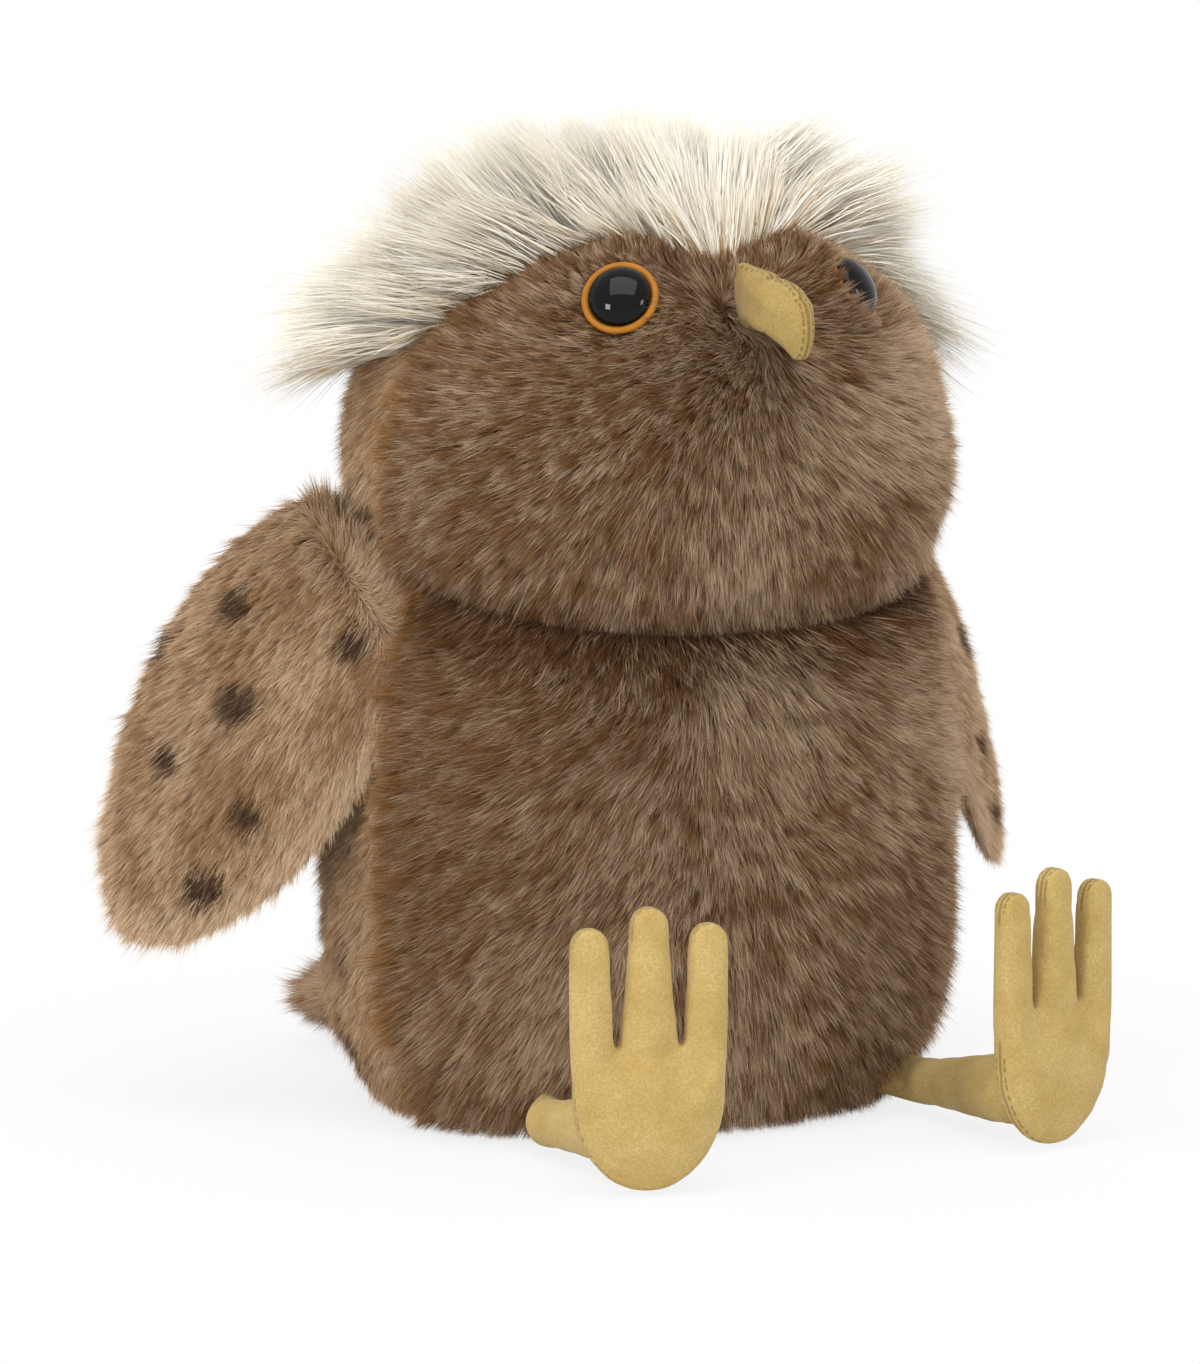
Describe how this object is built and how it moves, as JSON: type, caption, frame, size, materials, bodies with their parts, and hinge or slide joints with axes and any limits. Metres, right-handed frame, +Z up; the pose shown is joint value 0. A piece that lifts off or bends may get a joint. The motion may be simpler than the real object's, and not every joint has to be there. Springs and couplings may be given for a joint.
{
  "type": "plush owl",
  "caption": "sitting plush owl with a long-pile crown, domed eyes, a hooked beak, leaf-shaped wings, and stuffed legs, feet and a tail that swing at their seams",
  "frame": {"origin": "on the floor under the middle of the body, on the seat panel's flat underside", "axes": "+Z up; -Y the way the face looks; +X to the owl's own left"},
  "size_m": [0.3126, 0.2889, 0.3009],
  "materials": {
    "brown_pile": "matte",
    "spotted_tan_pile": "matte",
    "plain_tan_pile": "matte",
    "ivory_long_pile": "matte",
    "mustard_suede": "matte",
    "fibre_stuffing": "matte",
    "pellet_cloth": "matte",
    "amber_plastic": "gloss",
    "black_plastic": "gloss",
    "washer_plastic": "matte"
  },
  "bodies": {
    "body": {"belly_panel_left": "brown_pile", "belly_panel_right": "brown_pile", "back_panel_left": "spotted_tan_pile", "back_panel_right": "spotted_tan_pile", "body_filling": "fibre_stuffing", "pellet_pouch": "pellet_cloth", "seat_panel": "spotted_tan_pile"},
    "head": {"crown_panel": "ivory_long_pile", "head_filling": "fibre_stuffing", "beak_filling": "fibre_stuffing", "face_panel_left": "brown_pile", "face_panel_right": "brown_pile", "nape_panel_left": "spotted_tan_pile", "nape_panel_right": "spotted_tan_pile", "beak_left": "mustard_suede", "beak_right": "mustard_suede", "eye_iris_left": "amber_plastic", "eye_iris_right": "amber_plastic", "eye_pupil_left": "black_plastic", "eye_pupil_right": "black_plastic", "eye_washer_left": "washer_plastic", "eye_washer_right": "washer_plastic"},
    "tail": {"tail_top": "spotted_tan_pile", "tail_underside": "spotted_tan_pile", "tail_filling": "fibre_stuffing"},
    "wing_left": {"wing_outer_left": "spotted_tan_pile", "wing_lining_left": "plain_tan_pile", "wing_filling_left": "fibre_stuffing"},
    "leg_left": {"leg_cover_left": "mustard_suede", "leg_filling_left": "fibre_stuffing"},
    "foot_left": {"foot_sole_left": "mustard_suede", "foot_instep_left": "mustard_suede", "foot_filling_left": "fibre_stuffing"},
    "wing_right": {"wing_outer_right": "spotted_tan_pile", "wing_lining_right": "plain_tan_pile", "wing_filling_right": "fibre_stuffing"},
    "leg_right": {"leg_cover_right": "mustard_suede", "leg_filling_right": "fibre_stuffing"},
    "foot_right": {"foot_sole_right": "mustard_suede", "foot_instep_right": "mustard_suede", "foot_filling_right": "fibre_stuffing"}
  },
  "joints": [
    {"name": "head_turn", "type": "hinge", "parent": "body", "child": "head", "pos_m": [0, 0, 0.178], "axis": [0, -0.2756, 0.9613], "range_deg": [-12, 12], "stiffness_Nm_per_rad": 0.3},
    {"name": "tail_lift", "type": "hinge", "parent": "body", "child": "tail", "pos_m": [0, 0.07746, 0.03], "axis": [1, 0, 0], "range_deg": [0, 35], "stiffness_Nm_per_rad": 0.03},
    {"name": "wing_flap_left", "type": "hinge", "parent": "body", "child": "wing_left", "pos_m": [0.0945, 0.01, 0.181], "axis": [-0.2085, -0.6611, -0.7207], "range_deg": [0, 55], "stiffness_Nm_per_rad": 0.02},
    {"name": "leg_swing_left", "type": "hinge", "parent": "body", "child": "leg_left", "pos_m": [0.068, -0.06282, 0.0098], "axis": [-1, 0, 0], "range_deg": [-10, 30], "stiffness_Nm_per_rad": 1},
    {"name": "foot_flex_left", "type": "hinge", "parent": "leg_left", "child": "foot_left", "pos_m": [0.068, -0.11582, 0.016], "axis": [0.9703, 0.2419, 0], "range_deg": [-25, 15], "stiffness_Nm_per_rad": 0.3},
    {"name": "wing_flap_right", "type": "hinge", "parent": "body", "child": "wing_right", "pos_m": [-0.0945, 0.01, 0.181], "axis": [-0.2085, 0.6611, 0.7207], "range_deg": [0, 55], "stiffness_Nm_per_rad": 0.02},
    {"name": "leg_swing_right", "type": "hinge", "parent": "body", "child": "leg_right", "pos_m": [-0.068, -0.06282, 0.0098], "axis": [-1, 0, 0], "range_deg": [-10, 30], "stiffness_Nm_per_rad": 1},
    {"name": "foot_flex_right", "type": "hinge", "parent": "leg_right", "child": "foot_right", "pos_m": [-0.068, -0.11582, 0.016], "axis": [0.9703, -0.2419, 0], "range_deg": [-25, 15], "stiffness_Nm_per_rad": 0.3}
  ]
}
